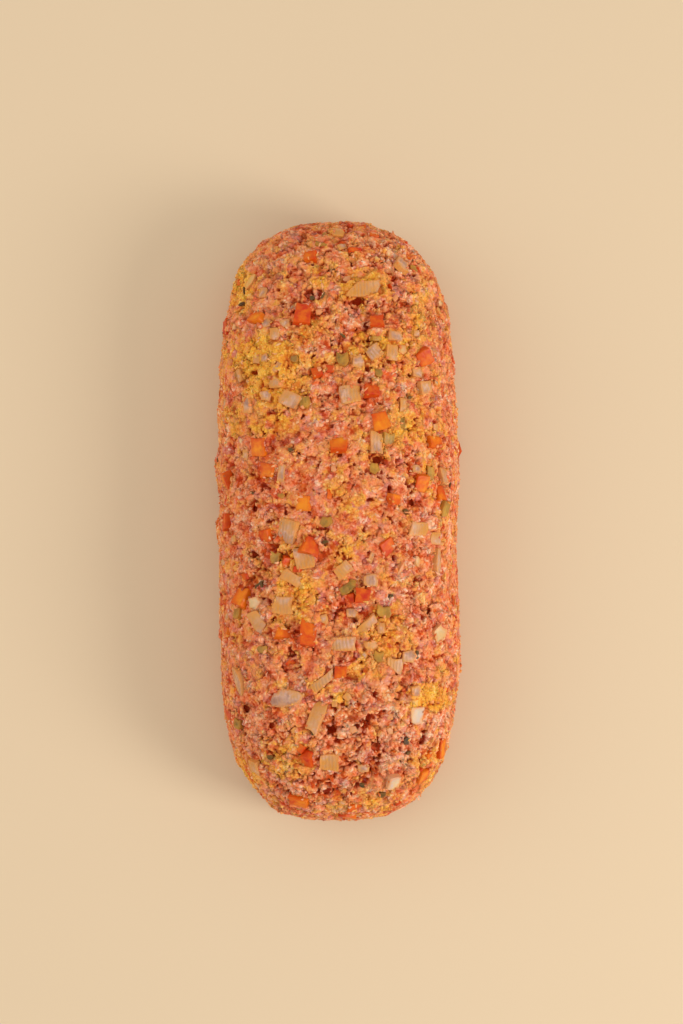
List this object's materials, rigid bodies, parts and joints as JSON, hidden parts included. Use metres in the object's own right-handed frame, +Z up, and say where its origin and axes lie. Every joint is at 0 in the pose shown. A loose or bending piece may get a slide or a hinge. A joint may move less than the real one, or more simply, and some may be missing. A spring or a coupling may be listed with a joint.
{
  "type": "uncooked meatloaf",
  "caption": "Long hand-shaped loaf of raw minced meat, domed on top and flat below, studded with diced onion, carrot, celery and garlic and streaked with yellow bread crumb.",
  "frame": {"origin": "centre of the base, on the surface that the loaf lies on", "axes": "+Y along the loaf, +X across it, +Z up"},
  "size_m": [0.1056, 0.2536, 0.0634],
  "materials": {
    "meat": "moist coarse mince, pink to brick red, slightly translucent, satin gloss",
    "crumb": "soaked bread crumb, yellow to orange, matte and grainy",
    "fat": "pale fat grains, satin",
    "onion": "softened onion, translucent cream to lilac, ribbed, moist gloss",
    "carrot": "diced carrot and red pepper, orange to red, moist satin",
    "celery": "diced celery, olive green, translucent, moist satin",
    "garlic": "chopped garlic, cream, satin",
    "herb": "flecks of dark green herb, matte"
  },
  "bodies": {
    "root": {"loaf": "meat"}
  },
  "joints": []
}
